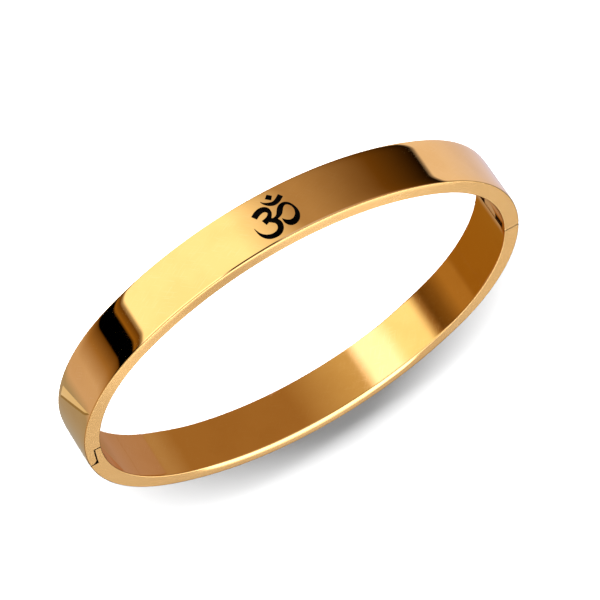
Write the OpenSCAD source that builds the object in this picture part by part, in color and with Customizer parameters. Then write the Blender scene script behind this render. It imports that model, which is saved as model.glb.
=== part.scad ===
// Hinged oval kada bangle with a black Om inlay, lying on one rim. Millimetres.
// Z runs along the wrist. The hinge is at -X, the clasp at +X and the symbol at -Y.

/* [Band] */
// Inner width of the oval from hinge to clasp
inner_long = 58; // [54:0.5:66]
// Inner width of the oval from front to back
inner_short = 47.5; // [44:0.5:54]
// Inner radius of the oval's two tighter ends
end_radius = 21; // [17:0.5:21.5]
// Width of the band along the wrist
band_w = 7; // [6.5:0.5:10]
// Thickness of the band's wall
wall = 2.2; // [2.1:0.1:3]
// Chamfer along the band's four long edges
edge = 0.2; // [0.1:0.05:0.3]

/* [Hinge] */
// Place of the hinge seam from the long axis, towards the back
hinge_y = 0.4; // [0:0.1:1]
// Depth of the hinge axis below the outer face
axis_depth = 0.55; // [0.5:0.05:0.7]
// Diameter of the hinge pin
pin_d = 0.56; // [0.4:0.02:0.6]
// Clearance around the pin
pin_gap = 0.02; // [0.01:0.01:0.04]
// Diameter of the three knuckles around the pin
knuckle_d = 1; // [0.9:0.02:1]
// Width of the middle knuckle
knuckle_w = 2.5; // [2:0.1:3]
// Width of the slit through which a knuckle shows outside
slit_w = 0.7; // [0.6:0.05:0.8]
// Running clearance around and between the knuckles
knuckle_gap = 0.06; // [0.04:0.01:0.1]
// Thickness of the rims that cover the outer knuckles and the pin
cheek = 0.5; // [0.4:0.05:1]
// Length of the two pockets in the front half, open to the inside
pocket_len = 1.4; // [1:0.05:2]
// Width of the hinge seam
seam_gap = 0.15; // [0.1:0.01:0.2]
// Largest opening angle of the hinge
open_angle = 42; // [30:1:50]

/* [Clasp] */
// Where the front half's outer lip ends, past the long axis
lip_end = 3.2; // [2.5:0.1:4]
// How far the back half's inner lip reaches into the front half
lip_reach = 0.35; // [0.1:0.05:1]
// Thickness of the back half's inner lip
lip_t = 0.85; // [0.8:0.05:1]
// Gap between the two lips
lap_gap = 0.2; // [0.1:0.01:0.3]
// Width of the two cross seams of the clasp
cross_gap = 0.25; // [0.15:0.01:0.4]
// Lead-in on the outer lip's inner corner, along the band
lead_len = 0.6; // [0.3:0.05:0.9]
// Lead-in on the outer lip's inner corner, across the wall
lead_depth = 0.45; // [0.2:0.05:0.6]
// Metal left between the hidden tongue and the inner lip's outer side
lip_skin = 0.15; // [0.1:0.01:0.2]
// Width of the hidden clasp tongue
tongue_w = 3.4; // [2.5:0.1:4]
// Thickness of the hidden clasp tongue
tongue_t = 0.35; // [0.3:0.05:0.4]
// Length of the tongue in the front half
tongue_front = 4; // [3:0.1:5]
// Length of the tongue in the back half
tongue_back = 3.2; // [2.5:0.1:4]
// Clearance around the tongue in the front half
tongue_gap = 0.1; // [0.06:0.01:0.15]

/* [Symbol] */
// Height of the Om across the band
symbol_h = 5.7; // [4.5:0.1:6]
// Place of the Om's centre along the band, towards the clasp
symbol_x = 0.4; // [-4:0.1:4]
// Depth of the black inlay
inlay_depth = 0.2; // [0.1:0.05:0.4]

/* [Fit] */
// Gap around pieces that are let into the band
inlay_gap = 0.03; // [0.02:0.01:0.05]

/* [Hidden] */
$fn = 180;
GOLD = "goldenrod";
STEEL = "silver";
INLAY = "black";
// Margin that a cutting shape has past the face that it cuts
OVER = 1;

// The oval: two tight end arcs and two flatter arcs, tangent where they meet
half_long = inner_long / 2;
half_short = inner_short / 2;
end_x = half_long - end_radius;
flat_radius = (end_x * end_x + half_short * half_short - end_radius * end_radius)
              / (2 * (half_short - end_radius));
flat_y = flat_radius - half_short;
meet = atan2(flat_y, end_x);

// The hinge axis and the levels of its knuckles
outer_x = half_long + wall;
axis_x = -(outer_x - axis_depth);
barrel_w = band_w - 2 * cheek;
knuckle_r = knuckle_d / 2;
mid_low = (band_w - knuckle_w) / 2;
mid_high = mid_low + knuckle_w;
relief = open_angle / 2 + 0.5;

// Arcs about the hinge axis, on which the clasp slides
lip_r = half_long + lip_t - axis_x;
lap_r = lip_r + lap_gap;
tongue_r = lip_r - lip_skin - tongue_t / 2;

// Brush strokes of the Om: x to the right, y up and stroke width,
// in hundredths of the symbol's height, from the symbol's centre
BOWL_TOP = [[-38, 15, 14], [-27, 21, 14.5], [-15, 23, 14], [-6.5, 18.5, 12], [-4, 10, 9],
            [-8, 2.5, 10], [-15, -3, 12.5], [-25.5, -6.3, 14.5]];
BOWL_LOW = [[-15, -5, 9], [-8, -10, 11], [-1.5, -16, 12], [1, -25, 12.5], [-2, -35, 13],
            [-10, -41.8, 13.5], [-20, -43.5, 12.5], [-31, -41, 11.5], [-40, -34, 9],
            [-46.5, -23, 5], [-50, -6, 0.8]];
CURL = [[-14, -8, 8], [-4, -10, 8.5], [5, -8, 9], [12, -3.5, 12], [17, 3, 13], [23, 9.5, 12],
        [31, 12.5, 9], [38.5, 10, 6.5], [44, 3, 5.5], [46.8, -6, 6], [46.8, -16, 8.5],
        [43, -26, 11.5], [34.5, -34, 14.5], [24, -35, 15], [17, -29.5, 11], [13.5, -23, 6],
        [11.5, -17, 1.2]];
CRESCENT = [[-8, 42, 0.8], [-4, 34.5, 4.5], [5, 27, 8.5], [15, 23.8, 10.8], [25, 26.5, 12],
            [36.5, 34, 12]];
DOT = [[3.3, 42.3], [12, 50], [20.5, 41.7], [13.5, 32.7]];
STEPS = 4;

// Cross-section of the band, measured outwards from the inner face
module section() {
    polygon([[edge, 0], [wall - edge, 0], [wall, edge], [wall, band_w - edge],
             [wall - edge, band_w], [edge, band_w], [0, band_w - edge], [0, edge]]);
}

// One arc of the band about its own centre, from the X axis round by an angle
module arc_band(radius, sweep) {
    rotate_extrude(angle = sweep)
        translate([radius, 0])
            section();
}

// A curved bar with a rectangular section about an upright axis
module arc_bar(centre, r_in, r_out, z_low, z_high, from, to) {
    translate([centre[0], centre[1], 0])
        rotate([0, 0, from])
            rotate_extrude(angle = to - from)
                translate([r_in, z_low])
                    square([r_out - r_in, z_high - z_low]);
}

// Angle on a circle at which it is a height y from the long axis
function angle_at(y, radius) = asin(y / radius);

// Places its children on the hinge axis
module at_hinge() {
    translate([axis_x, hinge_y, 0])
        children();
}

// Outer corners of both halves at the hinge, cut back so that the hinge can open
module hinge_relief() {
    reach = axis_depth + OVER;
    spread = reach * tan(relief);
    at_hinge()
        translate([0, 0, -OVER])
            linear_extrude(band_w + 2 * OVER)
                polygon([[0, 0], [-reach, spread], [-reach, -spread]]);
}

// One knuckle around the hinge axis, between two levels
module knuckle(z_low, z_high) {
    at_hinge()
        translate([0, 0, z_low])
            cylinder(r = knuckle_r, h = z_high - z_low);
}

// Room for the other half's knuckle, with a slit through which it shows outside
module knuckle_space(z_low, z_high) {
    at_hinge()
        translate([0, 0, z_low]) {
            cylinder(r = knuckle_r + knuckle_gap, h = z_high - z_low);
            translate([-axis_depth - OVER, -slit_w / 2, 0])
                cube([axis_depth + OVER, slit_w, z_high - z_low]);
        }
}

// Room for an outer knuckle in the front half, open to the inside
module pocket(z_low, z_high) {
    knuckle_space(z_low, z_high);
    at_hinge()
        translate([0, -pocket_len, z_low])
            cube([wall + OVER, pocket_len + OVER, z_high - z_low]);
}

// Bore of the pin, blind at both rims
module pin_bore() {
    at_hinge()
        translate([0, 0, cheek])
            cylinder(d = pin_d + 2 * pin_gap, h = barrel_w);
}

// Everything on one side of the hinge seam: side is 1 for the back, -1 for the front
module past_seam(side) {
    at_hinge()
        translate([-axis_depth - OVER, side > 0 ? -seam_gap / 2 : -wall + seam_gap / 2, -OVER])
            cube([wall + 2 * OVER, wall, band_w + 2 * OVER]);
}

// Everything inside the arc on which the clasp's lips meet, from y upwards
module lap_space(y_from) {
    intersection() {
        at_hinge()
            translate([0, 0, -OVER])
                cylinder(r = lap_r, h = band_w + 2 * OVER);
        translate([half_long - wall, y_from, -2 * OVER])
            cube([2 * wall, lip_end + 2 * wall, band_w + 4 * OVER]);
    }
}

// Lead-in at the tip of the outer lip
module lead_in(y_tip) {
    x_lap = axis_x + lap_r * cos(angle_at(y_tip - hinge_y, lap_r));
    translate([x_lap, y_tip, -OVER])
        linear_extrude(band_w + 2 * OVER)
            polygon([[-OVER, -lead_len - OVER * lead_len / lead_depth],
                     [lead_depth + OVER, OVER * lead_len / lead_depth], [-OVER, OVER]]);
}

// The clasp's tongue, or its slot, with its two lengths from the long axis
module tongue_bar(gap, front, back) {
    arc_bar([axis_x, hinge_y], tongue_r - tongue_t / 2 - gap, tongue_r + tongue_t / 2 + gap,
            (band_w - tongue_w) / 2 - gap, (band_w + tongue_w) / 2 + gap,
            -angle_at(front + hinge_y, tongue_r), angle_at(back - hinge_y, tongue_r));
}

// Points of a curve through the rows of a stroke table
function curve_at(a, b, c, d, t) =
    0.5 * (2 * b + (c - a) * t + (2 * a - 5 * b + 4 * c - d) * t * t
           + (3 * b - a - 3 * c + d) * t * t * t);
function curve(rows) =
    let (last = len(rows) - 1)
    [for (i = [0 : last - 1])
        for (k = [0 : STEPS - 1])
            curve_at(rows[max(i - 1, 0)], rows[i], rows[i + 1], rows[min(i + 2, last)], k / STEPS),
     rows[last]];

// One edge of a stroke: side is 1 for the left edge and -1 for the right
function stroke_edge(rows, side, grow) =
    let (points = curve(rows), last = len(points) - 1, unit = symbol_h / 100)
    [for (i = [0 : last])
        let (ahead = points[min(i + 1, last)] - points[max(i - 1, 0)],
             along = [ahead[0], ahead[1]] / norm([ahead[0], ahead[1]]),
             past = i == 0 ? -grow : i == last ? grow : 0,
             half = points[i][2] * unit / 2 + grow)
        [points[i][0], points[i][1]] * unit + along * past + [-along[1], along[0]] * side * half];
function reversed(list) = [for (i = [len(list) - 1 : -1 : 0]) list[i]];

// Outline of one brush stroke
module stroke(rows, grow) {
    polygon(concat(stroke_edge(rows, 1, grow), reversed(stroke_edge(rows, -1, grow))));
}

module letter_shape(grow) {
    stroke(BOWL_TOP, grow);
    stroke(BOWL_LOW, grow);
    stroke(CURL, grow);
}

module crescent_shape(grow) {
    stroke(CRESCENT, grow);
}

module dot_shape(grow) {
    middle = (DOT[0] + DOT[1] + DOT[2] + DOT[3]) / 4;
    polygon([for (p = DOT) p * symbol_h / 100 + (p - middle) / norm(p - middle) * grow * sqrt(2)]);
}

// A flat shape on the front, from the outer face to a depth below it.
// The symbol's top points down, to the rim that the bangle lies on.
module let_in(depth, over) {
    front_r = flat_radius + wall;
    difference() {
        intersection() {
            translate([symbol_x, flat_y - front_r + 2 * wall, band_w / 2])
                rotate([0, 180, 0])
                    rotate([90, 0, 0])
                        linear_extrude(3 * wall)
                            children();
            translate([0, flat_y, 0])
                cylinder(r = front_r + over, h = band_w);
        }
        translate([0, flat_y, -OVER])
            cylinder(r = front_r - depth, h = band_w + 2 * OVER);
    }
}

// A quarter of the band, from the middle of the symbol's side to past the long axis.
// Both arcs start on the line through their centres, so they meet face to face.
module quarter_band(past) {
    difference() {
        translate([end_x, 0, 0])
            rotate([0, 0, -meet]) {
                arc_band(end_radius, meet + angle_at(past, end_radius));
                translate([end_radius - flat_radius, 0, 0])
                    arc_band(flat_radius, meet - 90 - angle_at(OVER, flat_radius));
            }
        translate([-2 * OVER, -half_short - wall - OVER, -OVER])
            cube([2 * OVER, wall + 2 * OVER, band_w + 2 * OVER]);
    }
}

// Half of the band on the symbol's side, with its ends drawn past the long axis
module half_band(past_hinge, past_clasp) {
    quarter_band(past_clasp);
    mirror([1, 0, 0])
        quarter_band(past_hinge);
}

module front_half() {
    y_tip = lip_end - cross_gap / 2;
    y_step = -lip_reach - cross_gap / 2;
    color(GOLD)
        difference() {
            union() {
                difference() {
                    half_band(hinge_y + OVER, lip_end + OVER);
                    translate([half_long - wall, y_tip, -OVER])
                        cube([3 * wall, 2 * wall + lip_end, band_w + 2 * OVER]);
                    lap_space(y_step);
                    lead_in(y_tip);
                    tongue_bar(tongue_gap, tongue_front + tongue_gap, 0);
                    past_seam(1);
                    hinge_relief();
                    pocket(cheek, mid_low - knuckle_gap / 2);
                    pocket(mid_high + knuckle_gap / 2, band_w - cheek);
                    let_in(inlay_depth + inlay_gap, OVER) letter_shape(inlay_gap);
                    let_in(inlay_depth + inlay_gap, OVER) crescent_shape(inlay_gap);
                    let_in(inlay_depth + inlay_gap, OVER) dot_shape(inlay_gap);
                }
                knuckle(mid_low + knuckle_gap / 2, mid_high - knuckle_gap / 2);
            }
            pin_bore();
        }
}

module back_half() {
    y_shoulder = lip_end + cross_gap / 2;
    y_end = -lip_reach + cross_gap / 2;
    color(GOLD)
        difference() {
            union() {
                difference() {
                    mirror([0, 1, 0])
                        half_band(0, lip_reach + OVER);
                    translate([half_long - wall, y_end - 4 * wall, -OVER])
                        cube([3 * wall, 4 * wall, band_w + 2 * OVER]);
                    difference() {
                        translate([half_long - wall, y_end - OVER, -OVER])
                            cube([3 * wall, y_shoulder - y_end + OVER, band_w + 2 * OVER]);
                        at_hinge()
                            translate([0, 0, -2 * OVER])
                                cylinder(r = lip_r, h = band_w + 4 * OVER);
                    }
                    tongue_bar(inlay_gap, tongue_front, tongue_back + inlay_gap);
                    past_seam(-1);
                    hinge_relief();
                    knuckle_space(mid_low - knuckle_gap / 2, mid_high + knuckle_gap / 2);
                }
                knuckle(cheek + knuckle_gap, mid_low - knuckle_gap);
                knuckle(mid_high + knuckle_gap, band_w - cheek - knuckle_gap);
            }
            pin_bore();
        }
}

module hinge_pin() {
    color(STEEL)
        at_hinge()
            translate([0, 0, cheek + knuckle_gap])
                cylinder(d = pin_d, h = barrel_w - 2 * knuckle_gap);
}

module clasp_tongue() {
    color(STEEL)
        tongue_bar(0, tongue_front, tongue_back);
}

module om_letter() {
    color(INLAY) let_in(inlay_depth, 0) letter_shape(0);
}

module om_crescent() {
    color(INLAY) let_in(inlay_depth, 0) crescent_shape(0);
}

module om_dot() {
    color(INLAY) let_in(inlay_depth, 0) dot_shape(0);
}

front_half();
back_half();
hinge_pin();
clasp_tongue();
om_letter();
om_crescent();
om_dot();
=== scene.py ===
import math

import bpy
from mathutils import Matrix, Vector
from mathutils.bvhtree import BVHTree
from mathutils.interpolate import poly_3d_calc


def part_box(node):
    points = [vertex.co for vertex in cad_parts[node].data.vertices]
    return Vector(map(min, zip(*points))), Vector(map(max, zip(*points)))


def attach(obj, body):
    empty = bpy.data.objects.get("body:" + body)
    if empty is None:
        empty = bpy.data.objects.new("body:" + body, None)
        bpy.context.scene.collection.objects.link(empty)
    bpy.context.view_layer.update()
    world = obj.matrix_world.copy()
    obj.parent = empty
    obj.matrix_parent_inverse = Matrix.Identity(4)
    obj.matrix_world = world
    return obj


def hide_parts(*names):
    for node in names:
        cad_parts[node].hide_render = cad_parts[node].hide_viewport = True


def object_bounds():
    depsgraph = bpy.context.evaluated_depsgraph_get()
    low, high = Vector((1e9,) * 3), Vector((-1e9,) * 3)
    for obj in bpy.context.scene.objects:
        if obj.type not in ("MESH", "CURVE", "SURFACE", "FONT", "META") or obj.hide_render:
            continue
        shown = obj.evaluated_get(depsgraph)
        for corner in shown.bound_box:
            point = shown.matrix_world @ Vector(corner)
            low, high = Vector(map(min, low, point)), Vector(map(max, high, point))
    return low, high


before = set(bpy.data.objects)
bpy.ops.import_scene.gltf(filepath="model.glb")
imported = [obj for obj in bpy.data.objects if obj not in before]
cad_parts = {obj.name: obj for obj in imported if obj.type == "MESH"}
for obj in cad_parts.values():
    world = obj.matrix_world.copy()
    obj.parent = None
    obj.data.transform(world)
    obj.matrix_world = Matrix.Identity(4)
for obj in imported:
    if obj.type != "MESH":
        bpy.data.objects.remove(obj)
CAD_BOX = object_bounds()

# Pieces are modelled in millimetres and brought to metres at the end.
MM = 0.001

# Sizes that the frame gives
HIGH = CAD_BOX[1] / MM
BAND_W = HIGH.z
PIN_LOW, PIN_HIGH = (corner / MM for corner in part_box("hinge_pin"))
TONGUE_LOW, TONGUE_HIGH = (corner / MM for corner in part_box("clasp_tongue"))
PIN_D = PIN_HIGH.x - PIN_LOW.x
AXIS = Vector(((PIN_LOW.x + PIN_HIGH.x) / 2, (PIN_LOW.y + PIN_HIGH.y) / 2, 0))

# The band
WALL = 2.2
END_RADIUS = 21.0
FACE_ROWS = 28
RIM_ROWS = 11
BUFF_REACH = 1.3
BUFF_DROP = 0.07
ARRIS = 0.11
ARRIS_STEPS = 4
END_STEPS = 48
FLAT_STEPS = 36

# Where wear has rounded the rims: how wide, how deep, and how far from the half's middle
INNER_WEAR_REACH = 1.15
INNER_WEAR_DROP = 0.14
INNER_WEAR_FROM = -13.0
INNER_WEAR_TO = 15.0
OUTER_WEAR_REACH = 0.7
OUTER_WEAR_DROP = 0.035
OUTER_WEAR_TO = 20.0
WEAR_FADE = 7.0

# The hinge
AXIS_DEPTH = 0.55
KNUCKLE_R = 0.5
KNUCKLE_W = 2.5
KNUCKLE_GAP = 0.06
SLIT_W = 0.7
CHEEK = 0.5
POCKET_LEN = 1.4
SEAM_GAP = 0.15
RELIEF = math.radians(21.5)
PIN_GAP = 0.02

# The clasp
LIP_END = 3.2
LIP_REACH = 0.35
LIP_T = 0.85
LAP_GAP = 0.2
CROSS_GAP = 0.25
LEAD_LEN = 0.6
LEAD_DEPTH = 0.45
LIP_SKIN = 0.15
TONGUE_T = 0.35
TONGUE_FRONT = 4.0
TONGUE_BACK = 3.2
TONGUE_GAP = 0.1

LAP_SIDES = 720
POST_SIDES = 48
TONGUE_STEPS = 8

# The symbol
SYMBOL_NODES = ("om_letter", "om_crescent", "om_dot")
STEEL_NODES = ("hinge_pin", "clasp_tongue")
SHEET_LEN = 1.2 * BAND_W
SHEET_STEPS = 12
INLAY_DEPTH = 0.2
INLAY_GAP = 0.03
INLAY_SINK = 0.02

# How squarely a face of an inlay looks forwards or backwards to be its front or its back
FACE_ON = 0.7

# How far a cutting shape runs past the face that it cuts, and past the whole band's end
OVER = 1.0
PAST_END = 3 * OVER + LIP_END

# The oval: two tight end arcs and two flatter arcs, tangent where they meet
HALF_LONG = HIGH.x - WALL
HALF_SHORT = HIGH.y - WALL
END_X = HALF_LONG - END_RADIUS
FLAT_RADIUS = (END_X ** 2 + HALF_SHORT ** 2 - END_RADIUS ** 2) / (2 * (HALF_SHORT - END_RADIUS))
FLAT_Y = FLAT_RADIUS - HALF_SHORT
MEET = math.atan2(FLAT_Y, END_X)
HALF_ROUND = 2 * ((math.pi / 2 - MEET) * (FLAT_RADIUS + WALL / 2) + MEET * (END_RADIUS + WALL / 2))
LIP_R = HALF_LONG + LIP_T - AXIS.x
LAP_R = LIP_R + LAP_GAP
TONGUE_R = LIP_R - LIP_SKIN - TONGUE_T / 2
MID_LOW = (BAND_W - KNUCKLE_W) / 2
MID_HIGH = MID_LOW + KNUCKLE_W

# Camera, fitted to the photo
LENS = 218.05
SENSOR = 36.0
CAMERA_SPOT = Vector((82.68, -398.99, 203.19))
CAMERA_RIGHT = Vector((-0.86494, 0.067, 0.49738)).normalized()
CAMERA_UP = Vector((-0.46598, -0.47525, -0.74632)).normalized()
CAMERA_NEAR = 10.0

# The floor, and the lamp that draws the shadow
FLOOR_SIZE = 4000
FLOOR_WHITE = (0.9, 0.9, 0.9, 1.0)
FLOOR_FILL = 0.3
KEY_WATTS = 160.0
KEY_AWAY = 1000
KEY_TURN_DEG = 8.35
KEY_HALF_DEG = 37.35
KEY_LOW_DEG = 1.64
KEY_HIGH_DEG = 20.0

# The studio's paints, cloths and lights: brightness in three colours
BLACK = (0.0, 0.0, 0.0)
UMBER = (0.15, 0.07, 0.01)
AMBER = (0.35, 0.17, 0.02)
RUST = (0.38, 0.22, 0.08)
COPPER = (0.45, 0.25, 0.06)
BROWN = (0.5, 0.36, 0.22)
CLAY = (0.5, 0.34, 0.28)
GREY = (0.45, 0.42, 0.35)
SAND = (0.7, 0.55, 0.3)
ROSE = (0.7, 0.57, 0.5)
LILAC = (0.8, 0.75, 0.9)
PALE = (0.95, 0.87, 0.9)
SUNLIGHT = (1.4, 1.35, 1.0)
DAYLIGHT = (1.5, 1.5, 1.3)
SKYLIGHT = (1.9, 1.85, 2.0)
LAMPLIGHT = (2.2, 2.2, 2.2)

# The brightest that a colour ramp has to hold
ROOM_PEAK = 2.2

# The room below eye level, which the outer face mirrors: each thing, degrees from +X, colour
ROOM_WALLS = (
    ("pale wall", -180, PALE),
    ("pale wall's end", -171.7, PALE),
    ("dark corner", -171.5, BLACK),
    ("dark wall", -148, UMBER),
    ("brown wall", -115, BROWN),
    ("brown wall", -109, BROWN),
    ("window", -84, DAYLIGHT),
    ("window", -32.1, DAYLIGHT),
    ("window frame", -30.6, UMBER),
    ("window frame", -29.2, UMBER),
    ("curtain", -26.3, AMBER),
    ("black stand", -25.6, BLACK),
    ("black stand", -12, BLACK),
    ("lamp shade", -11.2, UMBER),
    ("lamp shade", -1, RUST),
    ("rose wall", 15, ROSE),
    ("rose wall", 31, ROSE),
    ("grey curtain", 41, GREY),
    ("grey curtain", 90, GREY),
    ("far wall", 122, LILAC),
    ("far wall", 145, LILAC),
    ("pale wall", 180, PALE))

# The room at eye level, which the rounded corners mirror
ROOM_HORIZON = (
    ("grey ledge", -180, GREY),
    ("grey ledge", -172, GREY),
    ("dark wall", -169, BLACK),
    ("dark wall", -155, UMBER),
    ("far wall", -137, CLAY),
    ("far wall", -105, LILAC),
    ("far wall", -99, LILAC),
    ("dark beam", -95, BLACK),
    ("dark beam", -76, BLACK),
    ("lamp", -70, LAMPLIGHT),
    ("lamp", -34, LAMPLIGHT),
    ("dark wall", -30, BLACK),
    ("dark wall", -11, BLACK),
    ("shelf", 5, COPPER),
    ("shelf", 45, COPPER),
    ("dark wall", 75, BLACK),
    ("dark wall", 140, BLACK),
    ("grey ledge", 170, GREY),
    ("grey ledge", 180, GREY))

# The ceiling with its softbox, and the heights in degrees at which the room changes
CEILING = (0.32, 0.292, 0.255, 1.0)
SOFTBOX = (1.6, 1.6, 1.6, 1.0)
HORIZON_LOW = -16.0
HORIZON_HIGH = 16.0
HORIZON_SOFT = 8.0
SOFTBOX_LOW = 33.0
SOFTBOX_SOFT = 4.0
SOFTBOX_FROM = 90.0
SOFTBOX_TO = 120.0
SOFTBOX_FADE = 8.0

# A light strip beside the clasp, from its low end to its high end, and its dark side's edge
STRIP_LOW = Vector((41.1, 8.2, -9.2))
STRIP_HIGH = Vector((44.3, 0.1, 0.3))
STRIP_WIDE = 5.6
STRIP_NARROW = 0.2
STRIP_TURN_DEG = 115
STRIP_DARK_FROM = 0.78
STRIP_DARK_TO = 0.84
STRIP_LIGHT = (0.38, 0.36, 0.29, 1.0)
STRIP_SHADE = (0.15, 0.12, 0.06, 1.0)

# The panels under the floor, which the inner face mirrors, by the angle round the oval
WELL_TOP = 0.05
WELL_DEPTH = 150.0
WELL_WALLS = (
    ("shaded side", -180, RUST),
    ("shaded side", -118, RUST),
    ("window's side", -84, SAND),
    ("window's side", -79, SAND),
    ("window", -72.5, SKYLIGHT),
    ("window", -58, SKYLIGHT),
    ("low sun", -51, SUNLIGHT),
    ("low sun", -35, SUNLIGHT),
    ("dark corner", -29.4, RUST),
    ("dark corner", -25.5, UMBER),
    ("copper side", 0, COPPER),
    ("copper side", 20, COPPER),
    ("rust seam", 27, RUST),
    ("clay side", 55, CLAY),
    ("clay side", 89.9, CLAY),
    ("amber end", 90, AMBER),
    ("amber end", 144, AMBER),
    ("brown side", 150, BROWN),
    ("brown side", 158, BROWN),
    ("shaded side", 173, RUST),
    ("shaded side", 180, RUST))

# The deep amber part of the well that only the hinge end sees, and its soft edges in turns
AMBER_LOW_DEG = 16
AMBER_HIGH_DEG = 60
AMBER_LOW_FADE = 0.03
AMBER_HIGH_FADE = 0.01
AMBER_DEPTH = 10.0
AMBER_DEPTH_FADE = 1.0

# Two cards, back to back across the well, one for each end of the band
CARD_Y = 15.5
CARD_TOP = 3.5
CARD_DEPTH = 30.0
CARD_APART = 0.1

# The polish outside and inside, and the roughness of the other finishes with its spread
POLISH_ROUGH = 0.02
INNER_ROUGH = 0.05
CUT_ROUGH = 0.3
CUT_ROUGH_SPREAD = 0.2
ENAMEL_ROUGH = 0.3
ENAMEL_ROUGH_SPREAD = 0.15
ENAMEL_GLOSS = 0.01
STEEL_ROUGH = 0.2
STEEL_ROUGH_SPREAD = 0.15

# The satin of the rims: how far round the band from the front's middle, and the roughness
RIM_FROM = -45.0
RIM_TO = 135.0
RIM_SATIN = (
    (-43, 0.18),
    (-26, 0.19),
    (-20, 0.22),
    (-12, 0.27),
    (0, 0.26),
    (4, 0.18),
    (8, 0.11),
    (12, 0.12),
    (17, 0.20),
    (27, 0.26),
    (33, 0.18),
    (52, 0.17),
    (75, 0.15),
    (84, 0.20),
    (90, 0.20),
    (95, 0.14),
    (102, 0.09),
    (108, 0.17),
    (114, 0.21),
    (130, 0.19))

# Wear: what it adds to the roughness, where its noise begins and ends, and how it runs
SMUDGE_ROUGH = 0.02
SMUDGE_FROM = 0.4
SMUDGE_TO = 0.7
SCRATCH_ROUGH = 0.12
SCRATCH_FROM = 0.66
SCRATCH_TO = 0.72
SCRATCHES_PER_MM = 7.0
SCRATCH_TURNS_AND_SEEDS = ((0.35, 3.0), (-0.8, 17.0))

# Where the satin starts and is full, by a face's tilt, and where the inside does, by depth
SATIN_FROM = 0.55
SATIN_TO = 0.9
INSIDE_FROM = 0.4
INSIDE_TO = 0.1

# Heights of the finest relief, in metres, and the waves inside per millimetre
INNER_WAVES_PER_MM = 0.2
RIM_LINE_RELIEF = 0.5e-6
INNER_WAVE_RELIEF = 6e-6
CUT_LINE_RELIEF = 3e-6
STEEL_LINE_RELIEF = 1.5e-6

# How near counts as the same place, also for the mirror, and for a CAD node in metres
NEAR = 1e-4
MIRROR_NEAR = 1e-3
CAD_NEAR = 1e-7

# How closely a face lies on the uncut skin, and the angle past which an edge is a crease
SKIN_GAP = 0.003
SKIN_MATCH = 0.995
CREASE_DEG = 30

# Front and back as factors of Y
FRONT = -1
BACK = 1

# Colours, as linear values
GOLD = (0.90, 0.56, 0.22, 1.0)
GOLD_DEEP = (0.87, 0.53, 0.20, 1.0)
GOLD_SCRATCHED = (0.93, 0.62, 0.30, 1.0)
# The cut faces' gold, darkened as painted shade of the seams, pockets and bores; darker still where
# smudged
GOLD_CUT_SHADED = (0.34, 0.19, 0.07, 1.0)
GOLD_CUT_SHADED_SMUDGED = (0.12, 0.07, 0.03, 1.0)
STEEL = (0.60, 0.60, 0.61, 1.0)
STEEL_DARK = (0.42, 0.42, 0.43, 1.0)
ENAMEL = (0.0004, 0.0004, 0.0004, 1.0)
ENAMEL_DUSTY = (0.0025, 0.0022, 0.0020, 1.0)
WHITE = (1.0, 1.0, 1.0, 1.0)


# Small modelling helpers

def only(piece):
    """Makes one object the selected and active one."""
    bpy.ops.object.select_all(action="DESELECT")
    piece.select_set(True)
    bpy.context.view_layer.objects.active = piece


def settle(name):
    """Names the newest object and puts its place into its mesh."""
    piece = bpy.context.object
    piece.name = name
    piece.data.name = name
    bpy.ops.object.transform_apply(location=True, rotation=True, scale=True)
    return piece


def upright_plate(name, centre, width, height, turn=0.0):
    """A flat rectangle that stands upright, its width along X before it turns about Z."""
    bpy.ops.object.select_all(action="DESELECT")
    bpy.ops.mesh.primitive_plane_add(size=1, location=centre, rotation=(math.pi / 2, 0, turn))
    bpy.context.object.scale = (width, height, 1)
    return settle(name)


def block(name, low, high, pivot=(0, 0, 0), turn=0.0):
    """A box between two corners given from a pivot, turned about the pivot's upright axis."""
    low = Vector(low)
    high = Vector(high)
    bpy.ops.object.select_all(action="DESELECT")
    bpy.ops.mesh.primitive_cube_add(size=1, location=(low + high) / 2)
    bpy.context.object.scale = high - low
    box = settle(name)
    box.rotation_euler.z = turn
    box.location = pivot
    only(box)
    return settle(name)


def post(name, centre, radius, z_low, z_high, sides=POST_SIDES):
    """An upright cylinder between two levels."""
    bpy.ops.object.select_all(action="DESELECT")
    bpy.ops.mesh.primitive_cylinder_add(
        vertices=sides, radius=radius, depth=z_high - z_low,
        location=(centre.x, centre.y, (z_low + z_high) / 2))
    return settle(name)


def pick_nothing(piece, kind):
    """Makes a piece active with nothing of its mesh selected, ready to pick parts of a kind."""
    only(piece)
    bpy.ops.object.mode_set(mode="EDIT")
    bpy.ops.mesh.select_mode(type=kind)
    bpy.ops.mesh.select_all(action="DESELECT")
    bpy.ops.object.mode_set(mode="OBJECT")


def select_faces(piece, wanted):
    """Enters edit mode with only the faces selected for which wanted(face) is true."""
    pick_nothing(piece, "FACE")
    for face in piece.data.polygons:
        face.select = wanted(face)
    bpy.ops.object.mode_set(mode="EDIT")


def select_points(piece, wanted):
    """Enters edit mode with only the points selected for which wanted(place) is true."""
    pick_nothing(piece, "VERT")
    for vertex in piece.data.vertices:
        vertex.select = wanted(vertex.co)
    bpy.ops.object.mode_set(mode="EDIT")


def outline(name, centre, width, height, turn=0.0):
    """The open outline of an upright plate, in edit mode and selected."""
    plate = upright_plate(name, centre, width, height, turn)
    bpy.ops.object.mode_set(mode="EDIT")
    bpy.ops.mesh.select_all(action="SELECT")
    bpy.ops.mesh.delete(type="ONLY_FACE")
    bpy.ops.mesh.select_all(action="SELECT")
    return plate


def spin(steps, angle, centre):
    """Spins what is selected about an upright axis, anticlockwise seen from above."""
    bpy.ops.mesh.spin(steps=steps, angle=-angle, center=centre, axis=(0, 0, 1))


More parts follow.
